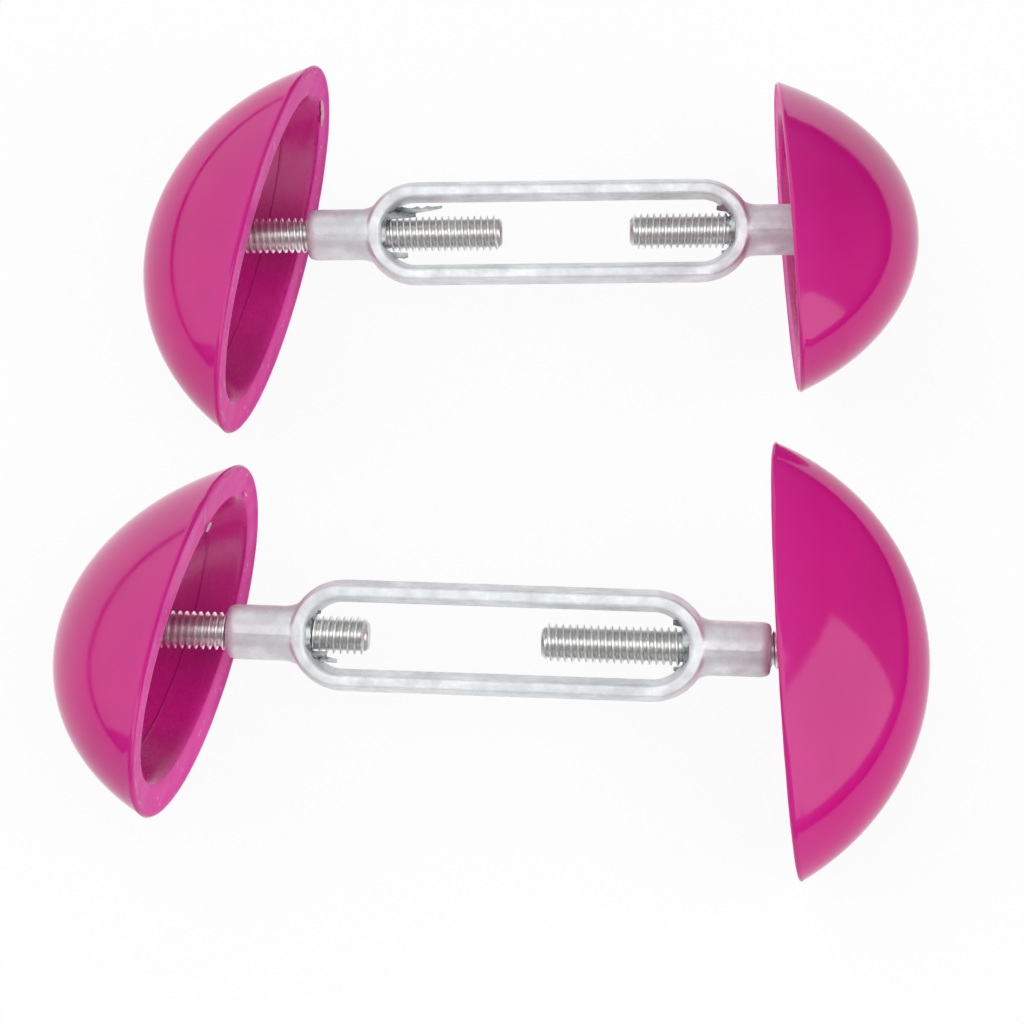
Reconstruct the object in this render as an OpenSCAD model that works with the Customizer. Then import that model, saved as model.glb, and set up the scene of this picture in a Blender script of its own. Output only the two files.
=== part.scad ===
// A pair of small screw shoe stretchers, lying on a table as a pair is laid out.
// Each one is a die-cast turnbuckle between two half-egg domes on threaded studs.
// Millimetres, Z up, X along the stretchers, origin under the middle of the pair.

/* [Turnbuckle] */
// Length over the two bosses
body_length = 70; // [66:1:90]
// Outside diameter of a boss
boss_d = 7.1; // [6.6:0.1:8]
// Width over the two side bars
loop_width = 14.4; // [13.4:0.2:18]
// Clear width between the side bars
loop_gap = 8.6; // [7.4:0.2:10]
// Length over the loop, end wall to end wall
loop_length = 54.2; // [50:0.2:60]
// Thickness of the side bars, face to face
bar_thickness = 7.2; // [6:0.1:8]
// Width of the flat face of a side bar
bar_face = 1.5; // [0.8:0.1:1.8]
// Chamfer on the outer end of a boss
boss_chamfer = 0.6; // [0.2:0.1:0.9]

/* [Studs] */
// Outside diameter of the thread
thread_d = 4.9; // [4:0.1:5.2]
// Distance from one thread crest to the next
thread_pitch = 0.9; // [0.8:0.05:1.2]
// Depth of the thread
thread_depth = 0.5; // [0.3:0.05:0.6]
// Length of the longer stud
long_stud_length = 47.7; // [44:0.1:48]
// Length of the shorter stud
short_stud_length = 38.2; // [36:0.2:40]
// Radial clearance of a stud in its turnbuckle boss
thread_clearance = 0.05; // [0.02:0.01:0.09]

/* [Domes] */
// Length of a dome's rim
dome_length = 57.4; // [48:0.2:64]
// Width of a dome's rim
dome_width = 31; // [30:0.2:40]
// Depth of a dome, rim to crown
dome_depth = 18.3; // [17.5:0.1:22]
// Slope of the wall at the rim, as a share of a straight cone's
rim_slope = 0.64; // [0.4:0.02:0.7]
// Width of the lip round the opening
lip_width = 4.7; // [3.6:0.1:5.2]
// How far the lip falls from its outer to its inner edge
lip_fall = 0.5; // [0:0.1:1]
// Thickness of the dome at its crown
crown_wall = 3.2; // [2.8:0.1:3.6]
// Diameter of the boss on the floor of a dome, at its face
seat_d = 11; // [10:0.5:11.5]
// Height of that boss above the floor
seat_height = 4; // [3.6:0.1:5]
// How deep the stud goes into that boss and the floor
stud_seat = 5.4; // [4:0.1:5.4]

/* [Fixings] */
// Width across the flats of the lock nut
nut_flats = 8; // [7:0.1:8.4]
// Thickness of the lock nut
nut_thickness = 2.7; // [2:0.1:3.2]
// Outside diameter of the washer
washer_d = 10; // [8:0.1:10.5]
// Thickness of the washer
washer_thickness = 1; // [0.6:0.1:1.3]
// Gap left on each face of the washer
washer_play = 0.02; // [0.01:0.01:0.05]
// Radial clearance of the washer round the stud
washer_clearance = 0.2; // [0.1:0.05:0.5]
// Radial clearance round a stud in its nut and in its dome
fixing_clearance = 0.02; // [0.01:0.01:0.05]

/* [Pair at rest] */
// Distance between the two stretchers, middle to middle
pair_spacing = 64.9; // [62:0.1:90]
// How far the back turnbuckle lies to the right of the front one
pair_stagger = 5.8; // [-20:0.1:20]

/* [Back stretcher at rest] */
// Heading of the back stretcher, in degrees
back_heading = 1.2; // [-10:0.1:10]
// Roll of the back turnbuckle about its length, in degrees
back_roll = 32; // [-60:0.5:60]
// Thread showing between the boss and the lock nut of the back long stud
back_long_showing = 11.4; // [0.2:0.1:24]
// Thread showing between the boss and the lock nut of the back short stud
back_short_showing = 4; // [0.2:0.1:24]
// Turn of the back long stud's dome about the stud, in degrees
back_long_twist = 5.5; // [-40:0.5:40]
// Turn of the back short stud's dome about the stud, in degrees
back_short_twist = -16; // [-40:0.5:40]
// Sideways lean of the back long stud's dome, in degrees
back_long_lean = -12.5; // [-14:0.5:14]
// Sideways lean of the back short stud's dome, in degrees
back_short_lean = 2; // [-14:0.5:14]
// Dip of the back long stud's dome, in degrees
back_long_dip = -3.5; // [-10:0.5:10]
// Dip of the back short stud's dome, in degrees
back_short_dip = -1.5; // [-10:0.5:10]

/* [Front stretcher at rest] */
// Heading of the front stretcher, in degrees
front_heading = -1.3; // [-10:0.1:10]
// Roll of the front turnbuckle about its length, in degrees
front_roll = 30.5; // [-60:0.5:60]
// Thread showing between the boss and the lock nut of the front long stud
front_long_showing = 9.2; // [0.2:0.1:24]
// Thread showing between the boss and the lock nut of the front short stud
front_short_showing = 10.7; // [0.2:0.1:24]
// Turn of the front long stud's dome about the stud, in degrees
front_long_twist = 16.5; // [-40:0.5:40]
// Turn of the front short stud's dome about the stud, in degrees
front_short_twist = -17; // [-40:0.5:40]
// Sideways lean of the front long stud's dome, in degrees
front_long_lean = 2.5; // [-14:0.5:14]
// Sideways lean of the front short stud's dome, in degrees
front_short_lean = -6.5; // [-14:0.5:14]
// Dip of the front long stud's dome, in degrees
front_long_dip = -7.5; // [-10:0.5:10]
// Dip of the front short stud's dome, in degrees
front_short_dip = -4.5; // [-10:0.5:10]

/* [Hidden] */
$fn = 64;
eps = 0.01;

// Shares that shape the boss's taper, a thread's profile and a nut's bevel
seat_sink = 0.3;
seat_taper = 0.72;
crest_start = 0.32;
crest_end = 0.45;
flank_end = 0.77;
bevel_share = 0.6;

// The turnbuckle's loop: a bar bent round two half circles
bar_width = (loop_width - loop_gap) / 2;
bar_centre = (loop_width + loop_gap) / 4;
loop_straight = loop_length - loop_width;
bore_r = thread_d / 2 + thread_clearance;
// Inner face of the loop's end wall, from the middle
end_wall = loop_straight / 2 + loop_gap / 2;

// Depths along the stud from the plane of a dome's rim
seat_face = dome_depth - crown_wall - seat_height;
stud_end = seat_face + stud_seat;
// How far the boss's taper runs on into the wall, and its diameter there
seat_root = seat_face + seat_height + seat_sink * crown_wall;
seat_root_d = seat_taper * seat_d;
cavity_depth = dome_depth - crown_wall;
washer_face = seat_face - washer_play;
nut_face = washer_face - washer_thickness - washer_play;

// Trials that find how a stretcher settles, and the fineness of a dome's surfaces
trials = 5;
around = 60;
outer_rings = 12;
inner_rings = 9;

// Each side of a stretcher: direction along X, thread showing, twist, lean, dip, stud length
back_long =
    [-1, back_long_showing, back_long_twist, back_long_lean, back_long_dip, long_stud_length];
back_short =
    [1, back_short_showing, back_short_twist, back_short_lean, back_short_dip, short_stud_length];
front_long =
    [1, front_long_showing, front_long_twist, front_long_lean, front_long_dip, long_stud_length];
front_short =
    [-1, front_short_showing, front_short_twist, front_short_lean, front_short_dip, short_stud_length];
function dir(side) = side[0];
// From the middle of the turnbuckle to the plane of a dome's rim
function reach(side) = body_length / 2 + side[1] + nut_thickness - nut_face;
function twist(side) = side[2];
function lean(side) = side[3];
function dip(side) = side[4];
function stud_length(side) = side[5];

// Points turned about the three axes
function turn_x(p, t) = [p.x, p.y * cos(t) - p.z * sin(t), p.y * sin(t) + p.z * cos(t)];
function turn_y(p, t) = [p.x * cos(t) + p.z * sin(t), p.y, p.z * cos(t) - p.x * sin(t)];
function turn_z(p, t) = [p.x * cos(t) - p.y * sin(t), p.x * sin(t) + p.y * cos(t), p.z];

// Radius of a dome at a share s of its depth, as a share of its rim's
function cap_radius(s) = sqrt(max(0, 1 - rim_slope * s - (1 - rim_slope) * s * s));
function ring(s, size, depth, start, way) =
    let (x = way * (start + (depth - start) * s), r = cap_radius(s) / 2)
    [for (j = [0 : around - 1]) let (t = 360 * j / around) [x, size.x * r * cos(t), size.y * r * sin(t)]];
function cap(size, depth, start, rings, way) =
    [for (i = [0 : rings - 1]) each ring(sin(90 * i / rings), size, depth, start, way),
        [way * depth, 0, 0]];
rim_size = [dome_length, dome_width];
mouth_size = rim_size - [2, 2] * lip_width;
function outer_cap(way) = cap(rim_size, dome_depth, 0, outer_rings, way);
function inner_cap(way) = cap(mouth_size, cavity_depth, lip_fall, inner_rings, way);

// A dome's point moved to where the dome sits on its stud, in the stretcher's own frame
function seated(p, side) =
    let (pivot = [dir(side) * seat_face, 0, 0], place = pivot + [dir(side) * reach(side), 0, 0])
    turn_z(turn_y(turn_x(p, twist(side)) - pivot, dip(side)), lean(side)) + place;
function seated_cap(side) = [for (p = outer_cap(dir(side))) seated(p, side)];

// The pitch at which both domes of a stretcher touch the table, found by repeated trial
function lowest(points, pitch) =
    let (turned = [for (p = points) turn_y(p, -pitch)], low = min([for (p = turned) p.z]))
    [for (p = turned) if (p.z == low) p][0];
function settled(a, b, pitch = 0, step = 0) =
    let (low_a = lowest(a, pitch), low_b = lowest(b, pitch))
    let (tilt = atan((low_b.z - low_a.z) / (low_b.x - low_a.x)))
    step == trials ? pitch : settled(a, b, pitch - tilt, step + 1);
function rest_height(a, b, pitch) = -min(lowest(a, pitch).z, lowest(b, pitch).z);

back_caps = [seated_cap(back_long), seated_cap(back_short)];
front_caps = [seated_cap(front_long), seated_cap(front_short)];
back_pitch = settled(back_caps[0], back_caps[1]);
front_pitch = settled(front_caps[0], front_caps[1]);
back_height = rest_height(back_caps[0], back_caps[1], back_pitch);
front_height = rest_height(front_caps[0], front_caps[1], front_pitch);

// Where each stretcher lies before the pair is centred on the origin
back_raw = [pair_stagger / 2, pair_spacing / 2, back_height];
front_raw = [-pair_stagger / 2, -pair_spacing / 2, front_height];
function laid(p, pitch, heading, place) = turn_z(turn_y(p, -pitch), heading) + place;
pair_points = concat(
    [for (cap = back_caps, p = cap) laid(p, back_pitch, back_heading, back_raw)],
    [for (cap = front_caps, p = cap) laid(p, front_pitch, front_heading, front_raw)]);
centre_x = (min([for (p = pair_points) p.x]) + max([for (p = pair_points) p.x])) / 2;
centre_y = (min([for (p = pair_points) p.y]) + max([for (p = pair_points) p.y])) / 2;
back_place = back_raw - [centre_x, centre_y, 0];
front_place = front_raw - [centre_x, centre_y, 0];

// Faces of a dome's shell: outside, lip and inside as one closed skin
function band(a, b) =
    [for (j = [0 : around - 1]) let (k = (j + 1) % around)
        each [[a + j, b + j, b + k], [a + j, b + k, a + k]]];
function crown(a, tip) = [for (j = [0 : around - 1]) [a + j, tip, a + (j + 1) % around]];
function flipped(faces) = [for (f = faces) [f[2], f[1], f[0]]];
function shell_faces() =
    let (tip = outer_rings * around, base = tip + 1, floor_tip = base + inner_rings * around)
    concat(
        [for (i = [0 : outer_rings - 2]) each band(i * around, (i + 1) * around)],
        crown((outer_rings - 1) * around, tip),
        flipped(concat(
            [for (i = [0 : inner_rings - 2]) each band(base + i * around, base + (i + 1) * around)],
            crown(base + (inner_rings - 1) * around, floor_tip),
            band(0, base))));

module along(way) {
    rotate([0, 90 * way, 0]) children();
}

module on_back() {
    translate(back_place) rotate([0, -back_pitch, back_heading]) children();
}

module on_front() {
    translate(front_place) rotate([0, -front_pitch, front_heading]) children();
}

// Section of a side bar, drafted both ways from the parting plane
module bar_section() {
    polygon([
        [bar_centre - bar_width / 2, 0],
        [bar_centre - bar_face / 2, bar_thickness / 2],
        [bar_centre + bar_face / 2, bar_thickness / 2],
        [bar_centre + bar_width / 2, 0],
        [bar_centre + bar_face / 2, -bar_thickness / 2],
        [bar_centre - bar_face / 2, -bar_thickness / 2]
    ]);
}

// Half of the loop: one side bar, and the bend at the end of it
module half_loop() {
    translate([-loop_straight / 2, 0, 0])
        rotate([90, 0, 90]) linear_extrude(loop_straight) bar_section();
    translate([loop_straight / 2, 0, 0])
        rotate([0, 0, -90]) rotate_extrude(angle = 180) bar_section();
}

// A boss from the loop's end wall to its chamfered outer end
module boss() {
    r = boss_d / 2;
    along(1) rotate_extrude() polygon([
        [0, end_wall],
        [r, end_wall],
        [r, body_length / 2 - boss_chamfer],
        [r - boss_chamfer, body_length / 2],
        [0, body_length / 2]
    ]);
}

module turnbuckle(roll) {
    color("silver") rotate([roll, 0, 0]) difference() {
        union() {
            for (turned = [0, 180]) rotate([0, 0, turned]) {
                half_loop();
                boss();
            }
        }
        along(1) for (way = [-1, 1])
            translate([0, 0, way * (end_wall + body_length / 2) / 2])
                cylinder(h = body_length / 2 - end_wall + loop_gap, r = bore_r, center = true);
    }
}

// One thread: root, flank up, crest, flank down, as radius and height pairs
function thread(y) = let (r = thread_d / 2, root = r - thread_depth) [
    [root, y],
    [r, y + thread_pitch * crest_start],
    [r, y + thread_pitch * crest_end],
    [root, y + thread_pitch * flank_end]
];

module stud(side) {
    length = stud_length(side);
    turns = floor((length - thread_pitch) / thread_pitch);
    start = (length - turns * thread_pitch) / 2;
    tip_r = thread_d / 2 - thread_depth;
    outer_end = reach(side) + stud_end;
    color("lightgray") along(dir(side)) translate([0, 0, outer_end - length])
        rotate_extrude() polygon(concat(
            [[0, 0], [tip_r - start / 2, 0], [tip_r, start / 2]],
            [for (i = [0 : turns - 1]) each thread(start + i * thread_pitch)],
            [[tip_r, length - start / 2], [tip_r - start / 2, length], [0, length]]));
}

module dome(side) {
    way = dir(side);
    points = [for (p = concat(outer_cap(way), inner_cap(way))) seated(p, side)];
    color("mediumvioletred") difference() {
        union() {
            polyhedron(points, way > 0 ? shell_faces() : flipped(shell_faces()), convexity = 4);
            along(way) translate([0, 0, reach(side) + seat_face])
                cylinder(h = seat_root - seat_face, r1 = seat_d / 2, r2 = seat_root_d / 2);
        }
        along(way) translate([0, 0, reach(side) + seat_face - eps])
            cylinder(h = stud_seat + 2 * eps, r = thread_d / 2 + fixing_clearance);
    }
}

module nut(side) {
    corner_r = nut_flats / 2 / cos(30);
    bevel = bevel_share * (corner_r - nut_flats / 2);
    color("gainsboro") along(dir(side))
        translate([0, 0, reach(side) + nut_face - nut_thickness]) difference() {
            intersection() {
                cylinder(h = nut_thickness, r = corner_r, $fn = 6);
                rotate_extrude() polygon([
                    [0, 0],
                    [nut_flats / 2, 0],
                    [corner_r, bevel],
                    [corner_r, nut_thickness - bevel],
                    [nut_flats / 2, nut_thickness],
                    [0, nut_thickness]
                ]);
            }
            translate([0, 0, -1]) cylinder(h = nut_thickness + 2, r = thread_d / 2 + fixing_clearance);
        }
}

module washer(side) {
    color("gray") along(dir(side))
        translate([0, 0, reach(side) + washer_face - washer_thickness]) difference() {
            cylinder(h = washer_thickness, r = washer_d / 2);
            translate([0, 0, -1]) cylinder(h = washer_thickness + 2, r = thread_d / 2 + washer_clearance);
        }
}

on_back() turnbuckle(back_roll);  // back_turnbuckle
on_back() stud(back_long);  // back_long_stud
on_back() dome(back_long);  // back_long_dome
on_back() nut(back_long);  // back_long_nut
on_back() washer(back_long);  // back_long_washer
on_back() stud(back_short);  // back_short_stud
on_back() dome(back_short);  // back_short_dome
on_back() nut(back_short);  // back_short_nut
on_back() washer(back_short);  // back_short_washer
on_front() turnbuckle(front_roll);  // front_turnbuckle
on_front() stud(front_long);  // front_long_stud
on_front() dome(front_long);  // front_long_dome
on_front() nut(front_long);  // front_long_nut
on_front() washer(front_long);  // front_long_washer
on_front() stud(front_short);  // front_short_stud
on_front() dome(front_short);  // front_short_dome
on_front() nut(front_short);  // front_short_nut
on_front() washer(front_short);  // front_short_washer
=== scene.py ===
# A pair of small screw shoe stretchers, dressed for a picture and laid out as an add-on.
# Sizes are in millimetres and in each piece's own frame, unless a comment says otherwise.

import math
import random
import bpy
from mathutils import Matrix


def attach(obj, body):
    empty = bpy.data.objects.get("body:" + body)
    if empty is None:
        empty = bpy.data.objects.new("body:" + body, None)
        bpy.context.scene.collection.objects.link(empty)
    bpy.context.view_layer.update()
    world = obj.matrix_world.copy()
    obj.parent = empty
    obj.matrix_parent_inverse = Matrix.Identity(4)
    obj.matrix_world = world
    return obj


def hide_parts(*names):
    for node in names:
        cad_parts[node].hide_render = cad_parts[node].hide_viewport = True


bl_info = {
    "name": "Screw shoe stretchers",
    "version": (1, 0, 0),
    "blender": (4, 5, 0),
    "location": "View3D > Sidebar > Shoe stretchers",
    "description": "Builds the domes, studs, turnbuckles and fixings of a pair of shoe stretchers",
    "category": "Object",
}

import bmesh
import bpy
from bpy.props import FloatProperty, FloatVectorProperty, PointerProperty
from mathutils import Matrix, Vector, noise

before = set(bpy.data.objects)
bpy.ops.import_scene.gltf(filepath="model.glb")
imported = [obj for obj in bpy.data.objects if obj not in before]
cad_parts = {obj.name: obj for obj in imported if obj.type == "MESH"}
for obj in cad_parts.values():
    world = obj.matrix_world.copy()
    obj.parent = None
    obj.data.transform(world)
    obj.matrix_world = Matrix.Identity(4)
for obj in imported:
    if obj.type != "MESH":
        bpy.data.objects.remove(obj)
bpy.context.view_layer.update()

MM = 0.001

# The turnbuckle: its whole length, its bosses, and the loop with its drafted bars
BODY_LENGTH = 70.0
BOSS_RADIUS = 3.55
LOOP_STRAIGHT = 39.8
BAR_CENTRE = 5.75
BAR_HALF_WIDTH = 1.45
BAR_HALF_FACE = 0.75
BAR_HALF_HEIGHT = 3.6
BAR_EDGE = 0.08
BAR_EDGE_FALL = 0.12
BAR_FLARE = 0.04
END_WALL = 24.2
BORE_RADIUS = 2.5
BORE_CHAMFER = 0.55
SLIVER_HALF_THICKNESS = 0.2

# The low ridge that the mould's parting line leaves on a boss: across and height of its four corners
PARTING_RIDGE = ((-0.35, 3.3), (0.35, 3.3), (0.1, 3.62), (-0.1, 3.62))
BOX_FACES = ((0, 1, 2, 3), (4, 5, 6, 7), (0, 1, 5, 4), (1, 2, 6, 5), (2, 3, 7, 6), (3, 0, 4, 7))

# The studs and their thread
THREAD_RADIUS = 2.45
THREAD_ROOT = 1.95
PITCH = 0.9
STUD_END = 16.5
END_CHAMFER = 0.35
END_CHAMFER_SLOPE = 1.1

# The domes: half an egg with a flat lip, and the round boss on its floor
RIM_HALF_LENGTH = 28.66
RIM_HALF_WIDTH = 15.5
DOME_DEPTH = 18.26
RIM_SLOPE = 0.64
LIP_WIDTH = 4.7
LIP_FALL = 0.5
CAVITY_DEPTH = 15.1
SEAT_FACE = 11.1
SEAT_RADIUS = 5.5
MOULD_LINE_DEPTH = 5.1
OUTER_EDGE_DEPTH = 0.7
INNER_EDGE_DEPTH = 0.9
FLECK_FOOT = 0.12

# Material slots of a dome's shell, and the number of points in each of its rings
OUTSIDE, LIP, CAVITY = 0, 1, 2
AROUND = 144

# Steps along the shape of one thread, as shares of the pitch and of the thread's height
THREAD_SHAPE = ((0.0, 0.0), (0.1, 0.0), (0.22, 0.6), (0.32, 1.0), (0.5, 1.0), (0.6, 0.6), (0.74, 0.0))

# Depth below the rim plane and inset from the rim, for the rounded edge and then for the lip
OUTER_EDGE = ((0.42, 0.12), (0.2, 0.24), (0.07, 0.42))
LIP_SHAPE = ((0.03, 0.7), (0.06, 1.0), (0.2, 1.35), (0.25, 2.2), (0.3, 3.2), (0.36, 4.1), (0.44, 4.45))

# Where each stretcher lies: its middle, and its heading, pitch and roll in degrees
STRETCHERS = {
    "back": {"place": (6.399, 32.953, 16.160), "heading": 1.2, "pitch": 1.762, "roll": 32.0},
    "front": {"place": (0.599, -31.947, 17.122), "heading": -1.3, "pitch": 1.622, "roll": 30.5},
}

# Each stud with its dome: way along X, reach, the dome's turns on the stud, stud length, thread hand
SIDES = {
    "back_long": {"way": -1, "reach": 39.04, "turns": (5.5, -3.5, -12.5), "stud": 47.7, "hand": 1},
    "back_short": {"way": 1, "reach": 31.64, "turns": (-16.0, -1.5, 2.0), "stud": 38.2, "hand": -1},
    "front_long": {"way": 1, "reach": 36.84, "turns": (16.5, -7.5, 2.5), "stud": 47.7, "hand": 1},
    "front_short": {"way": -1, "reach": 38.34, "turns": (-17.0, -4.5, -6.5), "stud": 38.2, "hand": -1},
}

# Curled slivers that the tap left on the inner wall: side, angle about the stud, length, lift, width
SLIVERS = {
    "back": (
        (-1, 40.0, 4.4, 0.2, 1.4), (-1, 14.0, 8.0, 0.9, 1.1), (-1, 168.0, 3.2, 0.2, 1.5),
        (1, 18.0, 2.2, 0.4, 1.3), (1, -172.0, 1.5, 0.2, 1.1),
    ),
    "front": (
        (-1, 168.0, 3.6, 0.6, 1.1), (-1, 146.0, 2.4, 0.2, 1.2), (-1, 20.0, 1.3, 0.2, 0.9),
        (1, 14.0, 1.8, 0.4, 1.2), (1, -168.0, 1.6, 0.2, 1.2),
    ),
}

# Flash flecks on each dome's lip: angle round the rim, inset from its edge, length and width
FLECKS = {
    "back_long": (
        (-168.0, 3.7, 3.4, 1.1), (-162.0, 4.2, 2.0, 0.7),
        (20.0, 2.8, 1.2, 0.3), (8.0, 0.9, 2.0, 0.4),
    ),
    "back_short": ((150.0, 3.8, 1.6, 0.35), (-35.0, 3.0, 1.2, 0.3)),
    "front_long": ((160.0, 3.5, 1.5, 0.35), (30.0, 3.2, 1.0, 0.3)),
    "front_short": (
        (113.0, 4.3, 2.4, 0.7), (165.0, 3.8, 1.4, 0.35),
        (-8.0, 0.8, 2.6, 0.5), (6.0, 1.0, 1.6, 0.4),
    ),
}

# Colours that no setting changes
SPECK_COLOUR = (0.80, 0.55, 0.70)
FLASH_COLOURS = ((0.62, 0.14, 0.36), (0.88, 0.55, 0.72))
TORN_COLOURS = ((0.20, 0.22, 0.23), (0.62, 0.65, 0.66))

# The camera's place in millimetres, its heading in degrees and its tilts in radians
CAMERA_PLACE = (14.074, -210.165, 359.06)
CAMERA_HEADING = 1.65
CAMERA_TILTS = (("X", 0.524), ("Y", 0.017), ("Z", 0.001))

# Each lamp's place and size in metres. All of them face the middle of the pair.
LAMPS = {
    "key": ((0.32, -0.20, 0.27), (0.40, 0.40)),
    "top": ((-0.04, -0.20, 0.50), (0.50, 0.30)),
    "fill": ((-0.40, 0.26, 0.36), (1.10, 0.75)),
}
MIDDLE = (0.0, 0.0, 0.02)
FLOOR_HALF_SIZE = 2500
FLOOR_GLOW = 0.93


def turn(axis, degrees):
    """A turn about one axis, as a matrix."""
    return Matrix.Rotation(math.radians(degrees), 4, axis)


def shift(x, y=0.0, z=0.0):
    """A move in millimetres, as a matrix."""
    return Matrix.Translation(Vector((x, y, z)) * MM)


def stretcher_frame(name):
    """The middle of a stretcher, with X along its studs."""
    facts = STRETCHERS[name]
    return shift(*facts["place"]) @ turn("Z", facts["heading"]) @ turn("Y", -facts["pitch"])


def outward(way):
    """The turn that points local X out along a stud."""
    return turn("Z", 0 if way > 0 else 180)


def dome_frame(side):
    """A dome's rim plane at X 0 and its crown towards X, as it leans on its stud."""
    facts = SIDES[side]
    twist, dip, lean = facts["turns"]
    way = facts["way"]
    at_seat = stretcher_frame(side.split("_")[0]) @ shift(way * (facts["reach"] + SEAT_FACE))
    leaned = at_seat @ turn("Z", lean) @ turn("Y", dip)
    return leaned @ shift(-way * SEAT_FACE) @ turn("X", twist) @ outward(way)


def stud_frame(side):
    """A stud's inner end, with X along it towards its dome."""
    facts = SIDES[side]
    start = facts["reach"] + STUD_END - facts["stud"]
    return stretcher_frame(side.split("_")[0]) @ outward(facts["way"]) @ shift(start)


def turnbuckle_frame(name):
    """The middle of a turnbuckle, rolled about the studs."""
    return stretcher_frame(name) @ turn("X", STRETCHERS[name]["roll"])


def new_piece(name, bm, matrix, materials, sharp=35.0):
    """A mesh object of a bmesh drawn in millimetres, set down in place at the matrix."""
    bmesh.ops.scale(bm, vec=Vector((MM, MM, MM)), verts=bm.verts)
    mesh = bpy.data.meshes.new(name)
    bm.to_mesh(mesh)
    bm.free()
    smooth(mesh, sharp)
    for material in materials:
        mesh.materials.append(material)
    piece = bpy.data.objects.new(name, mesh)
    bpy.context.scene.collection.objects.link(piece)
    set_down(mesh, matrix)
    bpy.context.view_layer.update()
    return piece


def smooth(mesh, sharp):
    """Smooth shading that breaks at edges sharper than an angle in degrees."""
    for polygon in mesh.polygons:
        polygon.use_smooth = True
    mesh.set_sharp_from_angle(angle=math.radians(sharp))


def set_down(mesh, matrix):
    """Moves the points into place and keeps where each one was in its own frame for the finishes."""
    stale = mesh.attributes.get("own_place")
    if stale:
        mesh.attributes.remove(stale)
    own = mesh.attributes.new("own_place", "FLOAT_VECTOR", "POINT")
    for point, kept in zip(mesh.vertices, own.data):
        kept.vector = point.co
    mesh.transform(matrix)
    mesh.update()


def skin(bm, rings, closed=False, material=0):
    """Quads between rings of equal length, each ring closed round on itself."""
    pairs = list(zip(rings, rings[1:]))
    if closed:
        pairs.append((rings[-1], rings[0]))
    for lower, upper in pairs:
        count = len(lower)
        for j in range(count):
            k = (j + 1) % count
            face = bm.faces.new((lower[j], lower[k], upper[k], upper[j]))
            face.material_index = material


def fan(bm, ring, tip, material=0):
    """Triangles from a ring to one point."""
    for j in range(len(ring)):
        face = bm.faces.new((ring[j], ring[(j + 1) % len(ring)], tip))
        face.material_index = material


def round_ring(bm, x, radius, count, widen=1.0):
    """A ring about X, drawn out along Y where it is widened."""
    ring = []
    for j in range(count):
        t = 2 * math.pi * j / count
        ring.append(bm.verts.new((x, radius * widen * math.cos(t), radius * math.sin(t))))
    return ring


def lathe(bm, profile, count):
    """A solid turned about X from (x, radius, widening along Y) points, closed at each end."""
    rings = [round_ring(bm, x, radius, count, widen) for x, radius, widen in profile]
    skin(bm, rings)
    first = bm.verts.new((profile[0][0], 0, 0))
    last = bm.verts.new((profile[-1][0], 0, 0))
    fan(bm, rings[0], first)
    fan(bm, rings[-1], last)


def cap_radius(s):
    """How wide a dome still is, as a share of its rim, at the share s of its depth."""
    return math.sqrt(max(0.0, 1 - RIM_SLOPE * s - (1 - RIM_SLOPE) * s * s))


def dome_ring(bm, x, long_radius, short_radius, waver, seed):
    """An oval ring that wavers a little out of its plane."""
    ring = []
    for j in range(AROUND):
        t = 2 * math.pi * j / AROUND
        point = Vector((x, long_radius * math.cos(t), short_radius * math.sin(t)))
        if waver:
            point.x += waver * noise.noise(point * 0.35 + Vector((seed, 0, 0)))
            point.x += waver * 0.5 * noise.noise(point * 1.9 + Vector((0, seed, 0)))
        ring.append(bm.verts.new(point))
    return ring


def dome_mesh(seed):
    """Shell of one dome with its rim plane at X 0: outside, rounded lip and cavity."""
    bm = bmesh.new()
    rings = []
    kinds = []

    def add(kind, x, long_radius, short_radius, waver=0.0):
        rings.append(dome_ring(bm, x, long_radius, short_radius, waver, seed))
        kinds.append(kind)

    # The first ring stops a little short of the crown, and a fan closes it
    outer_steps = 34
    highest = outer_steps - 0.35
    for i in range(outer_steps, 0, -1):
        s = math.sin(math.pi / 2 * min(i, highest) / outer_steps)
        if DOME_DEPTH * s < OUTER_EDGE_DEPTH:
            continue
        add(OUTSIDE, DOME_DEPTH * s, RIM_HALF_LENGTH * cap_radius(s), RIM_HALF_WIDTH * cap_radius(s))
    # The outer edge of the lip is rounded over
    for x, inset in OUTER_EDGE:
        add(OUTSIDE, x, RIM_HALF_LENGTH - inset, RIM_HALF_WIDTH - inset, 0.02)
    # The lip falls a little towards the cavity and keeps a raised outer bead
    for x, inset in LIP_SHAPE:
        add(LIP, x, RIM_HALF_LENGTH - inset, RIM_HALF_WIDTH - inset, 0.03)
    inner_long = RIM_HALF_LENGTH - LIP_WIDTH
    inner_short = RIM_HALF_WIDTH - LIP_WIDTH
    inner_steps = 30
    for i in range(1, inner_steps):
        s = math.sin(math.pi / 2 * i / inner_steps)
        x = LIP_FALL + (CAVITY_DEPTH - LIP_FALL) * s
        if x < INNER_EDGE_DEPTH:
            continue
        add(CAVITY, x, inner_long * cap_radius(s), inner_short * cap_radius(s))
    crown = bm.verts.new((DOME_DEPTH, 0, 0))
    floor = bm.verts.new((CAVITY_DEPTH, 0, 0))
    fan(bm, rings[0], crown, OUTSIDE)
    for kind, lower, upper in zip(kinds[1:], rings, rings[1:]):
        skin(bm, [lower, upper], material=kind)
    fan(bm, rings[-1], floor, CAVITY)
    bmesh.ops.recalc_face_normals(bm, faces=bm.faces)
    return bm


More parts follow.
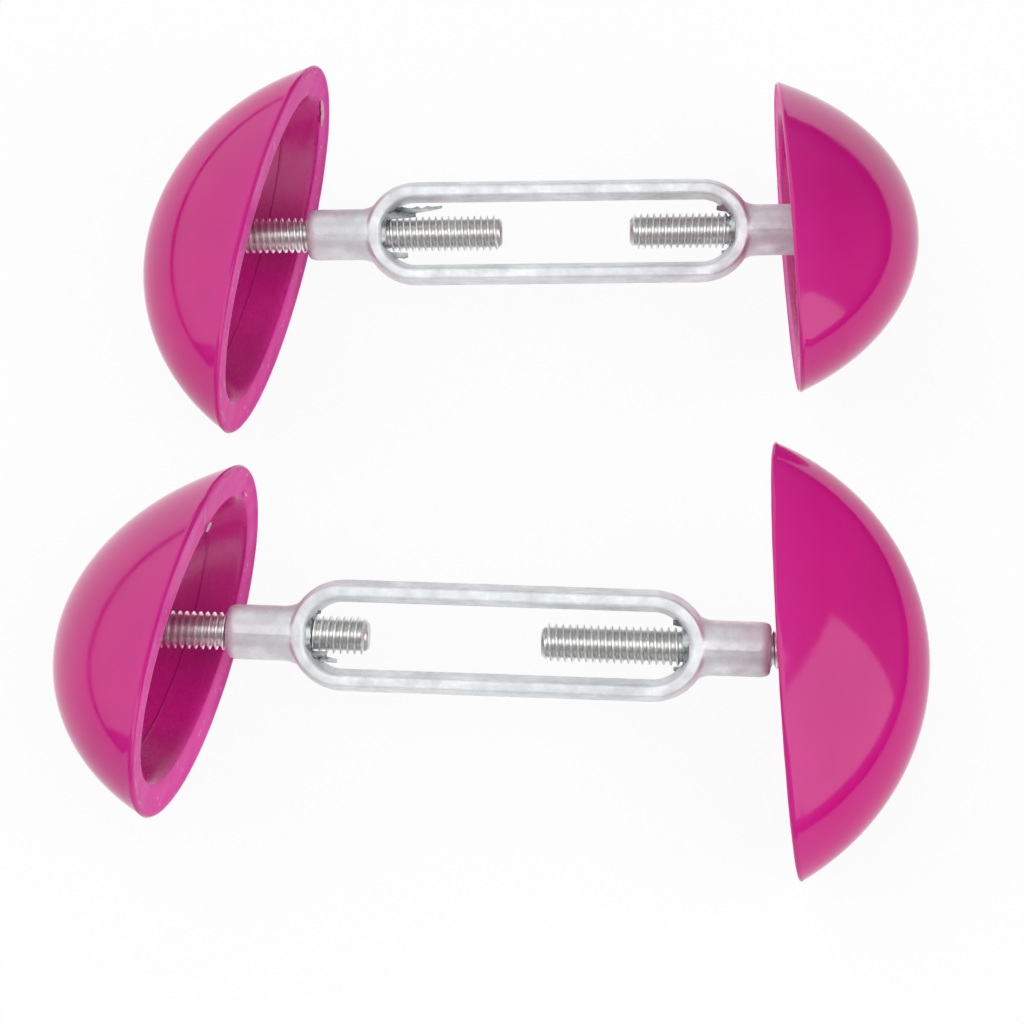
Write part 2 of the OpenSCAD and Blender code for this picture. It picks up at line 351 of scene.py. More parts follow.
def boss_mesh():
    """The round boss on a dome's floor, with a countersunk mouth, drawn out along the stud."""
    bm = bmesh.new()
    profile = (
        (5.2, THREAD_RADIUS + 0.03), (0.25, THREAD_RADIUS + 0.03), (0.0, THREAD_RADIUS + 0.2),
        (0.0, SEAT_RADIUS - 0.35), (0.12, SEAT_RADIUS - 0.1), (0.4, SEAT_RADIUS),
        (2.0, SEAT_RADIUS - 0.25), (3.4, SEAT_RADIUS - 0.5), (4.4, SEAT_RADIUS - 1.1),
        (4.4, THREAD_RADIUS + 0.6),
    )
    skin(bm, [round_ring(bm, x, radius, 64) for x, radius in profile], closed=True)
    bmesh.ops.recalc_face_normals(bm, faces=bm.faces)
    return bm


def fleck_mesh(spots, seed):
    """Flakes of moulding flash standing on the lip, each a small crumpled sheet of quads."""
    chance = random.Random(seed)
    bm = bmesh.new()
    for angle, inset, length, width in spots:
        t = math.radians(angle)
        y = (RIM_HALF_LENGTH - inset) * math.cos(t)
        z = (RIM_HALF_WIDTH - inset) * math.sin(t)
        centre = Vector((FLECK_FOOT, y, z))
        run = Vector((0, -RIM_HALF_LENGTH * math.sin(t), RIM_HALF_WIDTH * math.cos(t))).normalized()
        across = Vector((0, run.z, -run.y))
        steps = 9
        rings = []
        for i in range(steps + 1):
            share = i / steps - 0.5
            taper = math.sqrt(max(0.02, 1 - (2 * share) ** 2))
            corners = []
            for side in (-1, 1):
                ragged = 1 + 0.5 * (chance.random() - 0.5)
                lift = 0.10 * chance.random() + (0.08 if side > 0 else 0.0)
                point = centre + run * length * share + across * side * width / 2 * taper * ragged
                low = point - Vector((0.02, 0, 0))
                high = point - Vector((0.05 + lift * 0.2, 0, 0))
                corners += [low, high] if side < 0 else [high, low]
            rings.append([bm.verts.new(corner) for corner in corners])
        skin(bm, rings)
        bm.faces.new(rings[0])
        bm.faces.new(rings[-1])
    bmesh.ops.recalc_face_normals(bm, faces=bm.faces)
    return bm


def stud_mesh(length, hand):
    """A rod with a true helical thread along X, with a chamfer and a flat at each end."""
    bm = bmesh.new()
    per_turn = len(THREAD_SHAPE)
    columns = 32
    weld = 0.002
    foot = THREAD_ROOT - END_CHAMFER
    turns = int(length / PITCH) + 3
    rows = []
    for i in range(turns * per_turn):
        share, height = THREAD_SHAPE[i % per_turn]
        along = (i // per_turn - 1.5 + share) * PITCH
        row = []
        for j in range(columns):
            t = 2 * math.pi * j / columns
            x = along + PITCH * j / columns
            x = min(length, max(0.0, x))
            radius = THREAD_ROOT + (THREAD_RADIUS - THREAD_ROOT) * height
            radius = min(radius, foot + END_CHAMFER_SLOPE * x, foot + END_CHAMFER_SLOPE * (length - x))
            row.append(bm.verts.new((x, radius * math.cos(t), hand * radius * math.sin(t))))
        rows.append(row)
    for i in range(len(rows) - 1):
        for j in range(columns - 1):
            bm.faces.new((rows[i][j], rows[i][j + 1], rows[i + 1][j + 1], rows[i + 1][j]))
    for i in range(len(rows) - per_turn - 1):
        upper = i + per_turn
        bm.faces.new((rows[i][columns - 1], rows[upper][0], rows[upper + 1][0], rows[i + 1][columns - 1]))
    bmesh.ops.remove_doubles(bm, verts=bm.verts, dist=weld)
    bmesh.ops.dissolve_degenerate(bm, dist=weld, edges=bm.edges)
    bmesh.ops.holes_fill(bm, edges=[edge for edge in bm.edges if len(edge.link_faces) == 1], sides=0)
    bmesh.ops.recalc_face_normals(bm, faces=bm.faces)
    return bm


def loop_stations():
    """Centre and outward direction at steps round the loop's racetrack centreline."""
    stations = []
    half = LOOP_STRAIGHT / 2
    straight_steps = 40
    bend_steps = 28
    for i in range(straight_steps):
        stations.append((Vector((-half + LOOP_STRAIGHT * i / straight_steps, 0, 0)), Vector((0, 1, 0))))
    for i in range(bend_steps):
        t = math.pi / 2 - math.pi * i / bend_steps
        stations.append((Vector((half, 0, 0)), Vector((math.cos(t), math.sin(t), 0))))
    for i in range(straight_steps):
        stations.append((Vector((half - LOOP_STRAIGHT * i / straight_steps, 0, 0)), Vector((0, -1, 0))))
    for i in range(bend_steps):
        t = -math.pi / 2 - math.pi * i / bend_steps
        stations.append((Vector((-half, 0, 0)), Vector((math.cos(t), math.sin(t), 0))))
    return stations


def casting_mesh():
    """The loop and its two bosses as overlapping closed forms, ready to be melted into one skin."""
    bm = bmesh.new()
    flared = BAR_HALF_FACE + BAR_FLARE
    flat = BAR_HALF_FACE - BAR_EDGE
    fallen = BAR_HALF_HEIGHT - BAR_EDGE_FALL
    section = (
        (BAR_HALF_WIDTH, 0.0), (flared, fallen), (flat, BAR_HALF_HEIGHT), (-flat, BAR_HALF_HEIGHT),
        (-flared, fallen), (-BAR_HALF_WIDTH, 0.0), (-flared, -fallen), (-flat, -BAR_HALF_HEIGHT),
        (flat, -BAR_HALF_HEIGHT), (flared, -fallen),
    )
    rings = []
    for centre, out in loop_stations():
        ring = []
        for across, height in section:
            ring.append(bm.verts.new(centre + out * (BAR_CENTRE + across) + Vector((0, 0, height))))
        rings.append(ring)
    skin(bm, rings, closed=True)
    end = BODY_LENGTH / 2
    for way in (-1, 1):
        # Each boss widens in the parting plane where it runs into the loop
        profile = (
            (END_WALL + 0.3, BOSS_RADIUS - 0.35, 1.35), (END_WALL + 1.2, BOSS_RADIUS - 0.2, 1.24),
            (END_WALL + 2.0, BOSS_RADIUS - 0.05, 1.1), (END_WALL + 2.7, BOSS_RADIUS, 1.02),
            (END_WALL + 3.4, BOSS_RADIUS, 1.0), (end - 1.1, BOSS_RADIUS, 1.0),
            (end - 0.5, BOSS_RADIUS - 0.14, 1.0), (end - 0.15, BOSS_RADIUS - 0.42, 1.0),
            (end, BOSS_RADIUS - 0.85, 1.0),
        )
        lathe(bm, [(way * x, radius, widen) for x, radius, widen in profile], 48)
        for upward in (-1, 1):
            corners = []
            for x in (END_WALL + 2.4, end - 1.2):
                for y, z in PARTING_RIDGE:
                    corners.append(bm.verts.new((way * x, y, upward * z)))
            for face in BOX_FACES:
                bm.faces.new([corners[k] for k in face])
    bmesh.ops.recalc_face_normals(bm, faces=bm.faces)
    return bm


def bore_mesh(way):
    """The cutter for one boss's threaded hole, from inside the loop to past the boss's end."""
    bm = bmesh.new()
    far = BODY_LENGTH / 2
    mouth = BORE_RADIUS + BORE_CHAMFER
    profile = ((END_WALL - 3, BORE_RADIUS), (far - 0.35, BORE_RADIUS), (far + 0.3, mouth), (far + 2, mouth))
    lathe(bm, [(way * x, radius, 1.0) for x, radius in profile], 64)
    bmesh.ops.recalc_face_normals(bm, faces=bm.faces)
    return bm


def apply_modifiers(piece):
    """Puts what the modifiers make of a piece's mesh in the place of that mesh."""
    graph = bpy.context.evaluated_depsgraph_get()
    finished = bpy.data.meshes.new_from_object(piece.evaluated_get(graph))
    old = piece.data
    piece.modifiers.clear()
    piece.data = finished
    bpy.data.meshes.remove(old)


def bored_casting(name, material, step):
    """One turnbuckle in its own frame: its forms melted into one skin, with both holes cut."""
    piece = new_piece(name + "_casting", casting_mesh(), Matrix.Identity(4), [material])
    melt = piece.modifiers.new("melt", "REMESH")
    melt.mode = "VOXEL"
    melt.voxel_size = step
    melt.adaptivity = 0.0
    soften = piece.modifiers.new("soften", "SMOOTH")
    soften.factor = 0.5
    soften.iterations = 1
    cutters = []
    for way in (-1, 1):
        cutter = new_piece(name + "_bore", bore_mesh(way), Matrix.Identity(4), [])
        cut = piece.modifiers.new("bore", "BOOLEAN")
        cut.operation = "DIFFERENCE"
        cut.object = cutter
        cut.solver = "EXACT"
        cutters.append(cutter)
    apply_modifiers(piece)
    for cutter in cutters:
        bpy.data.objects.remove(cutter)
    if not piece.data.polygons:
        raise RuntimeError("the casting lost its skin")
    smooth(piece.data, 50.0)
    piece.data.materials.clear()
    piece.data.materials.append(material)
    return piece


def sliver_mesh(slivers, seed):
    """Torn slivers of metal beside the studs, each a thin ragged ribbon that curls off the end wall."""
    chance = random.Random(seed)
    bm = bmesh.new()
    for way, angle, length, lift, width in slivers:
        steps = 12
        rings = []
        for i in range(steps + 1):
            share = i / steps
            along = way * (END_WALL + 0.4 - (length + 0.4) * share)
            radius = BORE_RADIUS + 0.16 + lift * share * share
            spread = width * (1 - 0.6 * share) * (1 + 0.5 * (chance.random() - 0.5))
            ring = []
            for arc, out in ((-1, 0.0), (1, 0.0), (1, spread), (-1, spread)):
                r = radius + out
                t = math.radians(angle) + arc * SLIVER_HALF_THICKNESS / r + 0.10 * share * way
                ring.append(bm.verts.new((along, r * math.cos(t), r * math.sin(t))))
            rings.append(ring)
        skin(bm, rings)
        bm.faces.new(rings[0])
        bm.faces.new(rings[-1])
    # The ragged collar that the tap pushed up round each hole
    for way in (-1, 1):
        collar = []
        count = 48
        for radius, depth in ((BORE_RADIUS + 0.04, 0.3), (BORE_RADIUS + 0.05, -0.12),
                              (BORE_RADIUS + 0.3, -0.2), (BORE_RADIUS + 0.6, 0.3)):
            ring = []
            for j in range(count):
                t = 2 * math.pi * j / count
                ragged = 0.0 if depth > 0 else 0.28 * chance.random()
                x = way * (END_WALL + depth - ragged)
                ring.append(bm.verts.new((x, radius * math.cos(t), radius * math.sin(t))))
            collar.append(ring)
        skin(bm, collar, closed=True)
    bmesh.ops.recalc_face_normals(bm, faces=bm.faces)
    return bm


class Finish:
    """Small helper that wires a material's nodes."""

    def __init__(self, name, own=True):
        """Textures lie in the piece's own frame, or with own False in the object's."""
        self.material = bpy.data.materials.new(name)
        self.material.use_nodes = True
        self.nodes = self.material.node_tree.nodes
        self.links = self.material.node_tree.links
        self.shader = self.nodes["Principled BSDF"]
        if own:
            node = self.nodes.new("ShaderNodeAttribute")
            node.attribute_name = "own_place"
            self.place = node.outputs["Vector"]
        else:
            self.place = self.nodes.new("ShaderNodeTexCoord").outputs["Object"]

    def wire(self, source, target):
        """Joins one socket to another."""
        self.links.new(source, target)

    def grain(self, scale, detail=4.0, roughness=0.55, stretch=None):
        """Noise with so many grains to the metre, stretched along the axes where asked."""
        node = self.nodes.new("ShaderNodeTexNoise")
        node.inputs["Scale"].default_value = scale
        node.inputs["Detail"].default_value = detail
        node.inputs["Roughness"].default_value = roughness
        source = self.place
        if stretch:
            mapping = self.nodes.new("ShaderNodeMapping")
            mapping.inputs["Scale"].default_value = stretch
            self.wire(source, mapping.inputs["Vector"])
            source = mapping.outputs["Vector"]
        self.wire(source, node.inputs["Vector"])
        return node.outputs["Fac"]

    def spread(self, source, low, high, to_low, to_high):
        """One range of values drawn out onto another."""
        node = self.nodes.new("ShaderNodeMapRange")
        node.inputs["From Min"].default_value = low
        node.inputs["From Max"].default_value = high
        node.inputs["To Min"].default_value = to_low
        node.inputs["To Max"].default_value = to_high
        self.wire(source, node.inputs["Value"])
        return node.outputs["Result"]

    def reckon(self, kind, first, second=0.0):
        """One sum on two values, each a number or a socket."""
        node = self.nodes.new("ShaderNodeMath")
        node.operation = kind
        for socket, value in zip(node.inputs, (first, second)):
            if isinstance(value, (int, float)):
                socket.default_value = value
            else:
                self.wire(value, socket)
        return node.outputs["Value"]

    def part(self, axis):
        """One coordinate of the place, in metres."""
        node = self.nodes.new("ShaderNodeSeparateXYZ")
        self.wire(self.place, node.inputs["Vector"])
        return node.outputs[axis]

    def blend(self, share, first, second):
        """A mix of two colours, each given as numbers or a socket."""
        node = self.nodes.new("ShaderNodeMix")
        node.data_type = "RGBA"
        self.wire(share, node.inputs["Factor"])
        for socket, value in ((node.inputs[6], first), (node.inputs[7], second)):
            if hasattr(value, "links"):
                self.wire(value, socket)
            else:
                socket.default_value = (*value[:3], 1.0)
        return node.outputs[2]

    def colour(self, source):
        self.wire(source, self.shader.inputs["Base Color"])

    def rough(self, source):
        self.wire(source, self.shader.inputs["Roughness"])

    def relief(self, heights):
        """Bumps one on another, each a source with its depth in millimetres."""
        normal = None
        for source, depth in heights:
            node = self.nodes.new("ShaderNodeBump")
            node.inputs["Strength"].default_value = 1.0
            node.inputs["Distance"].default_value = depth * MM
            self.wire(source, node.inputs["Height"])
            if normal is not None:
                self.wire(normal, node.inputs["Normal"])
            normal = node.outputs["Normal"]
        self.wire(normal, self.shader.inputs["Normal"])


def shade(colour, factor):
    """A colour made darker or paler by a factor."""
    return tuple(min(1.0, channel * factor) for channel in colour[:3])


def outside_finish(settings):
    """Glossy moulded plastic with slow sink waves and faint rubbing."""
    finish = Finish("dome_outside")
    main = settings.outside_colour
    drift = finish.spread(finish.grain(55.0, 2.0), 0.3, 0.7, 0.0, 1.0)
    base = finish.blend(drift, shade(main, 0.93), shade(main, 1.07))
    depth = finish.spread(finish.part("X"), 0.0, 0.006, 1.0, 0.0)
    base = finish.blend(finish.reckon("MULTIPLY", depth, 0.25), base, settings.lip_colour[:3])
    finish.colour(base)
    rub = finish.grain(420.0, 6.0, 0.7, (1.0, 0.25, 1.0))
    smooth = settings.gloss_roughness
    finish.rough(finish.spread(rub, 0.35, 0.75, smooth, smooth + 0.08))
    finish.relief(((finish.grain(30.0, 1.0), 0.30), (finish.grain(700.0, 3.0), 0.006)))
    finish.shader.inputs["IOR"].default_value = 1.46
    return finish.material


def lip_finish(settings):
    """The flat lip: paler and matter, with rubbed whitish grains and fine trimming strokes."""
    finish = Finish("dome_lip")
    main = settings.lip_colour
    pale = shade(main, 1.14)
    cloud = finish.spread(finish.grain(160.0, 5.0, 0.6), 0.35, 0.7, 0.0, 1.0)
    base = finish.blend(cloud, main[:3], pale)
    specks = finish.spread(finish.grain(900.0, 2.0), 0.66, 0.74, 0.0, 0.5)
    base = finish.blend(specks, base, SPECK_COLOUR)
    finish.colour(base)
    finish.shader.inputs["Specular IOR Level"].default_value = 0.18
    strokes = finish.grain(500.0, 4.0, 0.6, (1.0, 0.15, 1.0))
    matt = settings.lip_roughness
    finish.rough(finish.spread(strokes, 0.3, 0.7, matt - 0.08, matt + 0.12))
    finish.relief((
        (finish.grain(60.0, 2.0), 0.12),
        (strokes, 0.03),
        (finish.grain(1500.0, 2.0), 0.006),
    ))
    return finish.material


def cavity_finish(settings):
    """The inside of a dome: deeper, with a mould line round its wall and flow marks round the boss."""
    finish = Finish("dome_cavity")
    main = settings.cavity_colour
    drift = finish.spread(finish.grain(80.0, 3.0), 0.3, 0.7, 0.0, 1.0)
    base = finish.blend(drift, shade(main, 0.88), shade(main, 1.1))
    below = finish.reckon("SUBTRACT", finish.part("X"), MOULD_LINE_DEPTH * MM)
    line = finish.spread(finish.reckon("ABSOLUTE", below), 0.00006, 0.0002, 1.0, 0.0)
    base = finish.blend(finish.reckon("MULTIPLY", line, 0.45), base, shade(main, 0.45))
    finish.colour(base)
    near = finish.reckon("ABSOLUTE", finish.part("Y"))
    near = finish.spread(near, 0.004, 0.013, 1.0, 0.0)
    flow = finish.grain(650.0, 6.0, 0.75, (1.0, 0.5, 1.0))
    flow_height = finish.reckon("MULTIPLY", flow, finish.reckon("ADD", near, 0.15))
    satin = settings.cavity_roughness
    finish.rough(finish.spread(flow, 0.3, 0.75, satin, satin + 0.15))
    finish.shader.inputs["Specular IOR Level"].default_value = 0.4
    finish.relief(((line, 0.05), (flow_height, 0.05), (finish.grain(40.0, 1.0), 0.12)))
    finish.shader.inputs["IOR"].default_value = 1.5
    return finish.material


def fleck_finish():
    """Thin flash is stretched and whitened."""
    finish = Finish("moulding_flash")
    finish.colour(finish.blend(finish.grain(900.0), *FLASH_COLOURS))
    finish.rough(finish.spread(finish.grain(1400.0), 0.3, 0.7, 0.3, 0.55))
    finish.relief(((finish.grain(1200.0), 0.02),))
    return finish.material


def casting_finish(settings):
    """As-cast zinc: mottled skin, pits, and bright rubbed patches."""
    finish = Finish("zinc_casting")
    main = settings.casting_colour
    mottle = finish.spread(finish.grain(330.0, 8.0, 0.7), 0.34, 0.66, 0.0, 1.0)
    base = finish.blend(mottle, shade(main, 0.82), shade(main, 1.06))
    stain = finish.spread(finish.grain(90.0, 3.0), 0.52, 0.75, 0.0, 0.55)
    base = finish.blend(stain, base, shade(main, 0.66))
    finish.colour(base)
    cast = settings.casting_roughness
    finish.rough(finish.spread(mottle, 0.0, 1.0, cast + 0.12, cast - 0.08))
    pits = finish.nodes.new("ShaderNodeTexVoronoi")
    pits.inputs["Scale"].default_value = 900.0
    finish.wire(finish.place, pits.inputs["Vector"])
    pit = finish.spread(pits.outputs["Distance"], 0.0, 0.35, 0.0, 1.0)
    finish.relief((
        (finish.grain(300.0, 8.0, 0.7), 0.10),
        (pit, 0.02),
        (finish.grain(1800.0, 3.0), 0.012),
    ))
    finish.shader.inputs["Metallic"].default_value = 0.4
    return finish.material


def sliver_finish():
    """Freshly torn metal: darker and brighter in streaks than the cast skin."""
    finish = Finish("torn_slivers")
    streak = finish.spread(finish.grain(700.0, 4.0, 0.6, (0.3, 1.0, 1.0)), 0.35, 0.65, 0.0, 1.0)
    finish.colour(finish.blend(streak, *TORN_COLOURS))
    finish.rough(finish.spread(streak, 0.0, 1.0, 0.25, 0.4))
    finish.relief(((finish.grain(900.0, 4.0), 0.08),))
    finish.shader.inputs["Metallic"].default_value = 1.0
    return finish.material


def plated_finish(name, settings, threaded):
    """Bright plating with fine rolling lines, and painted shade that darkens the roots of a thread."""
    finish = Finish(name, own=threaded)
    main = settings.plating_colour
    warm = finish.spread(finish.grain(260.0, 5.0), 0.35, 0.7, 0.0, 1.0)
    base = finish.blend(warm, shade(main, 0.92), shade(main, 1.04))
    lines = finish.grain(900.0, 5.0, 0.7, (3.0, 1.0, 1.0) if threaded else None)
    if threaded:
        y = finish.part("Y")
        z = finish.part("Z")
        reach = finish.reckon("ADD", finish.reckon("MULTIPLY", y, y), finish.reckon("MULTIPLY", z, z))
        reach = finish.reckon("SQRT", reach)
        # Painted shade: the plating is darkened towards the thread's roots, where shade falls between the
        # crests.
        root_shade = finish.spread(reach, THREAD_ROOT * MM, (THREAD_ROOT + 0.3) * MM, 0.55, 0.0)
        base = finish.blend(root_shade, base, shade(main, 0.45))
    finish.colour(base)
    bright = settings.plating_roughness
    finish.rough(finish.spread(lines, 0.3, 0.7, bright, bright + 0.16))
    finish.relief(((lines, 0.003),))
    finish.shader.inputs["Metallic"].default_value = 1.0
    return finish.material


class DomeSettings(bpy.types.PropertyGroup):
    """Colours and polish of the four domes."""

    outside_colour: FloatVectorProperty(
        name="Outside colour", description="Colour of the glossy outside of a dome",
        subtype="COLOR", size=3, min=0.0, max=1.0, default=(0.59, 0.005, 0.212))
    lip_colour: FloatVectorProperty(
        name="Lip colour", description="Colour of the flat lip round a dome's opening",
        subtype="COLOR", size=3, min=0.0, max=1.0, default=(0.76, 0.042, 0.37))
    cavity_colour: FloatVectorProperty(
        name="Cavity colour", description="Colour of the inside of a dome",
        subtype="COLOR", size=3, min=0.0, max=1.0, default=(0.60, 0.004, 0.23))
    gloss_roughness: FloatProperty(
        name="Outside roughness", description="Roughness of the glossy outside",
        subtype="FACTOR", min=0.02, max=0.6, default=0.07)
    lip_roughness: FloatProperty(
        name="Lip roughness", description="Roughness of the matt lip",
        subtype="FACTOR", min=0.1, max=0.9, default=0.42)
    cavity_roughness: FloatProperty(
        name="Cavity roughness", description="Roughness of the inside of a dome",
        subtype="FACTOR", min=0.05, max=0.9, default=0.2)


class MetalSettings(bpy.types.PropertyGroup):
    """Colours and polish of the turnbuckles, studs and fixings."""

    casting_colour: FloatVectorProperty(
        name="Casting colour", description="Colour of the die-cast turnbuckles",
        subtype="COLOR", size=3, min=0.0, max=1.0, default=(0.88, 0.925, 0.94))
    plating_colour: FloatVectorProperty(
        name="Plating colour", description="Colour of the plated studs, nuts and washers",
        subtype="COLOR", size=3, min=0.0, max=1.0, default=(0.96, 0.955, 0.945))
    casting_roughness: FloatProperty(
        name="Casting roughness", description="Roughness of the as-cast metal",
        subtype="FACTOR", min=0.1, max=0.9, default=0.42)
    plating_roughness: FloatProperty(
        name="Plating roughness", description="Roughness of the bright plating",
        subtype="FACTOR", min=0.02, max=0.6, default=0.24)
    skin_step: FloatProperty(
        name="Casting skin step", description="Size of the cells that the casting's skin is drawn with",
        subtype="DISTANCE", unit="LENGTH", min=0.0002, max=0.001, default=0.00024, precision=5)
    edge_width: FloatProperty(
        name="Broken edge", description="Width of the softly broken edges of the nuts and washers",
        subtype="DISTANCE", unit="LENGTH", min=0.0, max=0.0005, default=0.00008, precision=5)


class StageSettings(bpy.types.PropertyGroup):
    """Lamps, floor and camera."""

    key_power: FloatProperty(
        name="Key lamp", description="Power of the broad soft lamp at the right front",
        unit="POWER", min=0.0, max=100.0, default=0.82)
    fill_power: FloatProperty(
        name="Fill lamp", description="Power of the broad lamp at the left, seen in the left domes",
        unit="POWER", min=0.0, max=100.0, default=2.5)
    top_power: FloatProperty(
        name="Top lamp", description="Power of the lamp above the pair",
        unit="POWER", min=0.0, max=100.0, default=0.7)
    sky_strength: FloatProperty(
        name="Sky", description="Strength of the pale surroundings",
        subtype="FACTOR", min=0.0, max=2.0, default=0.36)
    floor_colour: FloatVectorProperty(
        name="Floor colour", description="Colour of the floor",
        subtype="COLOR", size=3, min=0.0, max=1.0, default=(0.93, 0.93, 0.93))
    lens: FloatProperty(
        name="Lens", description="Focal length of the camera",
        unit="CAMERA", min=20.0, max=300.0, default=105.47)


class STRETCHER_OT_turnbuckles(bpy.types.Operator):
    """Build the two die-cast turnbuckles with their bosses, bores and tapping slivers"""

    bl_idname = "stretcher.turnbuckles"
    bl_label = "Turnbuckles"

    def execute(self, context):
        settings = context.scene.stretcher_metal
        skin_material = casting_finish(settings)
        torn_material = sliver_finish()
        for number, name in enumerate(STRETCHERS):
            matrix = turnbuckle_frame(name)
            piece = bored_casting(name, skin_material, settings.skin_step)
            set_down(piece.data, matrix)
            torn = sliver_mesh(SLIVERS[name], 7 + number)
            slivers = new_piece(name + "_slivers", torn, matrix, [torn_material])
            context.view_layer.update()
            for part in (piece, slivers):
                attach(part, name + "_frame")
            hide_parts(name + "_turnbuckle")
        return {"FINISHED"}


class STRETCHER_OT_studs(bpy.types.Operator):
    """Build the four threaded studs with true helical threads of either hand"""

    bl_idname = "stretcher.studs"
    bl_label = "Studs"

    def execute(self, context):
        plating = plated_finish("stud_plating", context.scene.stretcher_metal, threaded=True)
        for side, facts in SIDES.items():
            bm = stud_mesh(facts["stud"], facts["hand"])
            piece = new_piece(side + "_rod", bm, stud_frame(side), [plating], sharp=60.0)
            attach(piece, side + "_screw")
            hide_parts(side + "_stud")
        return {"FINISHED"}


class STRETCHER_OT_domes(bpy.types.Operator):
    """Build the four domes with their lips, cavities, floor bosses and moulding flash"""

    bl_idname = "stretcher.domes"
    bl_label = "Domes"

    def execute(self, context):
        settings = context.scene.stretcher_domes
        finishes = [outside_finish(settings), lip_finish(settings), cavity_finish(settings)]
        flash = fleck_finish()
        for number, (side, facts) in enumerate(SIDES.items()):
            matrix = dome_frame(side)
            shell = new_piece(side + "_shell", dome_mesh(11.0 * number), matrix, finishes, sharp=80.0)
            seat_matrix = stud_frame(side) @ shift(facts["stud"] - STUD_END + SEAT_FACE)
            seat = new_piece(side + "_seat", boss_mesh(), seat_matrix, [finishes[2]])
            flecks = new_piece(side + "_flash", fleck_mesh(FLECKS[side], 3 + number), matrix, [flash])
            for part in (shell, seat, flecks):
                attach(part, side + "_screw")
            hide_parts(side + "_dome")
        return {"FINISHED"}


class STRETCHER_OT_nuts(bpy.types.Operator):
    """Plate the four lock nuts and break their edges"""

    bl_idname = "stretcher.nuts"
    bl_label = "Lock nuts"

    def execute(self, context):
        settings = context.scene.stretcher_metal
        plating = plated_finish("nut_plating", settings, threaded=False)
        for side in SIDES:
            dress_node(side + "_nut", plating, settings.edge_width)
        return {"FINISHED"}


class STRETCHER_OT_washers(bpy.types.Operator):
    """Plate the four washers and break their edges"""

    bl_idname = "stretcher.washers"
    bl_label = "Washers"

    def execute(self, context):
        settings = context.scene.stretcher_metal
        plating = plated_finish("washer_plating", settings, threaded=False)
        for side in SIDES:
            dress_node(side + "_washer", plating, settings.edge_width)
        return {"FINISHED"}


def dress_node(node, material, edge_width):
    """A CAD node that keeps its shape gets its finish and softly broken edges."""
    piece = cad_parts[node]
    piece.data.materials.clear()
    piece.data.materials.append(material)
    edge = piece.modifiers.new("edge", "BEVEL")
    edge.width = edge_width
    edge.segments = 2
    edge.limit_method = "ANGLE"
    edge.angle_limit = math.radians(35)


def floor_finish(settings):
    """A pale floor that the camera sees as near white, and that keeps the shadow of the pair."""
    material = bpy.data.materials.new("floor")
    material.use_nodes = True
    nodes = material.node_tree.nodes
    links = material.node_tree.links
    nodes.clear()
    output = nodes.new("ShaderNodeOutputMaterial")
    paper = nodes.new("ShaderNodeBsdfDiffuse")
    paper.inputs["Color"].default_value = (*settings.floor_colour, 1.0)
    glow = nodes.new("ShaderNodeEmission")
    path = nodes.new("ShaderNodeLightPath")
    seen = nodes.new("ShaderNodeMath")
    seen.operation = "MAXIMUM"
    share = nodes.new("ShaderNodeMath")
    share.operation = "MULTIPLY"
    share.inputs[1].default_value = FLOOR_GLOW
    mix = nodes.new("ShaderNodeMixShader")
    links.new(path.outputs["Is Camera Ray"], seen.inputs[0])
    links.new(path.outputs["Is Glossy Ray"], seen.inputs[1])
    links.new(seen.outputs[0], share.inputs[0])
    links.new(share.outputs[0], mix.inputs[0])
    links.new(paper.outputs[0], mix.inputs[1])
    links.new(glow.outputs[0], mix.inputs[2])
    links.new(mix.outputs[0], output.inputs["Surface"])
    return material


def area_lamp(name, place, size, power):
    """A soft rectangular lamp that faces the middle of the pair."""
    lamp = bpy.data.lights.new(name, "AREA")
    lamp.shape = "RECTANGLE"
    lamp.size = size[0]
    lamp.size_y = size[1]
    lamp.energy = power
    holder = bpy.data.objects.new(name, lamp)
    bpy.context.scene.collection.objects.link(holder)
    holder.location = place
    holder.rotation_euler = (Vector(MIDDLE) - Vector(place)).to_track_quat("-Z", "Y").to_euler()


def shade_the_horizon(tree, sky):
    """The surroundings are dim just above the edge of the floor and behind the pair."""
    place = tree.nodes.new("ShaderNodeTexCoord")
    parts = tree.nodes.new("ShaderNodeSeparateXYZ")
    tree.links.new(place.outputs["Generated"], parts.inputs["Vector"])
    both = tree.nodes.new("ShaderNodeMath")
    both.operation = "MULTIPLY"
    fades = (("Z", (0.02, 0.22, 0.08, 1.0)), ("Y", (0.2, 0.8, 1.0, 0.45)))
    for socket, (axis, limits) in zip(both.inputs, fades):
        fade = tree.nodes.new("ShaderNodeMapRange")
        for name, limit in zip(("From Min", "From Max", "To Min", "To Max"), limits):
            fade.inputs[name].default_value = limit
        tree.links.new(parts.outputs[axis], fade.inputs["Value"])
        tree.links.new(fade.outputs["Result"], socket)
    tree.links.new(both.outputs["Value"], sky.inputs["Color"])


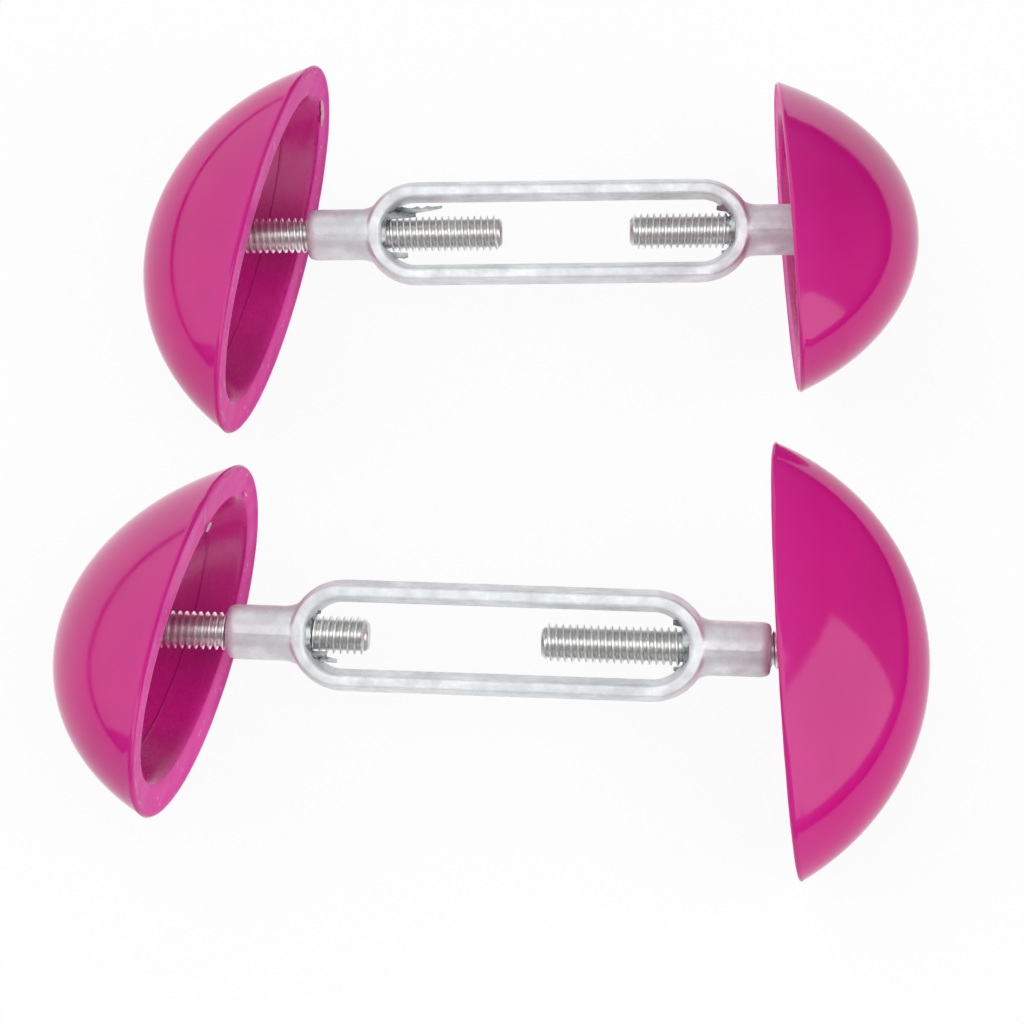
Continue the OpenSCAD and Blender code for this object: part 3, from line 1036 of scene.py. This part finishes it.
class STRETCHER_OT_stage(bpy.types.Operator):
    """Set the floor, the lamps, the pale surroundings and the camera"""

    bl_idname = "stretcher.stage"
    bl_label = "Stage"

    def execute(self, context):
        settings = context.scene.stretcher_stage
        scene = context.scene
        scene.view_settings.view_transform = "Standard"
        bm = bmesh.new()
        bmesh.ops.create_grid(bm, x_segments=4, y_segments=4, size=FLOOR_HALF_SIZE)
        floor = new_piece("floor", bm, Matrix.Identity(4), [floor_finish(settings)])
        world = bpy.data.worlds.new("surroundings")
        world.use_nodes = True
        sky = world.node_tree.nodes["Background"]
        sky.inputs["Strength"].default_value = settings.sky_strength
        shade_the_horizon(world.node_tree, sky)
        scene.world = world
        powers = {"key": settings.key_power, "top": settings.top_power, "fill": settings.fill_power}
        for name, (place, size) in LAMPS.items():
            area_lamp(name, place, size, powers[name])
        lens = bpy.data.cameras.new("camera")
        lens.lens = settings.lens
        lens.sensor_width = 36.0
        camera = bpy.data.objects.new("camera", lens)
        scene.collection.objects.link(camera)
        stand = shift(*CAMERA_PLACE) @ turn("Z", CAMERA_HEADING)
        for axis, angle in CAMERA_TILTS:
            stand = stand @ Matrix.Rotation(angle, 4, axis)
        camera.matrix_world = stand
        scene.camera = camera
        return {"FINISHED"}


STEPS = (
    STRETCHER_OT_turnbuckles,
    STRETCHER_OT_studs,
    STRETCHER_OT_domes,
    STRETCHER_OT_nuts,
    STRETCHER_OT_washers,
    STRETCHER_OT_stage,
)


class STRETCHER_PT_panel(bpy.types.Panel):
    """Lists the steps and the settings"""

    bl_label = "Shoe stretchers"
    bl_idname = "STRETCHER_PT_panel"
    bl_space_type = "VIEW_3D"
    bl_region_type = "UI"
    bl_category = "Shoe stretchers"

    def draw(self, context):
        layout = self.layout
        for step in STEPS:
            layout.operator(step.bl_idname)
        scene = context.scene
        for group in (scene.stretcher_domes, scene.stretcher_metal, scene.stretcher_stage):
            box = layout.box()
            for name in group.__annotations__:
                box.prop(group, name)


CLASSES = (DomeSettings, MetalSettings, StageSettings) + STEPS + (STRETCHER_PT_panel,)


def register():
    for item in CLASSES:
        bpy.utils.register_class(item)
    bpy.types.Scene.stretcher_domes = PointerProperty(type=DomeSettings)
    bpy.types.Scene.stretcher_metal = PointerProperty(type=MetalSettings)
    bpy.types.Scene.stretcher_stage = PointerProperty(type=StageSettings)


def unregister():
    del bpy.types.Scene.stretcher_stage
    del bpy.types.Scene.stretcher_metal
    del bpy.types.Scene.stretcher_domes
    for item in reversed(CLASSES):
        bpy.utils.unregister_class(item)


def main():
    register()
    bpy.ops.stretcher.turnbuckles()
    bpy.ops.stretcher.studs()
    bpy.ops.stretcher.domes()
    bpy.ops.stretcher.nuts()
    bpy.ops.stretcher.washers()
    bpy.ops.stretcher.stage()
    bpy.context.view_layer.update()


if __name__ == "__main__":
    main()
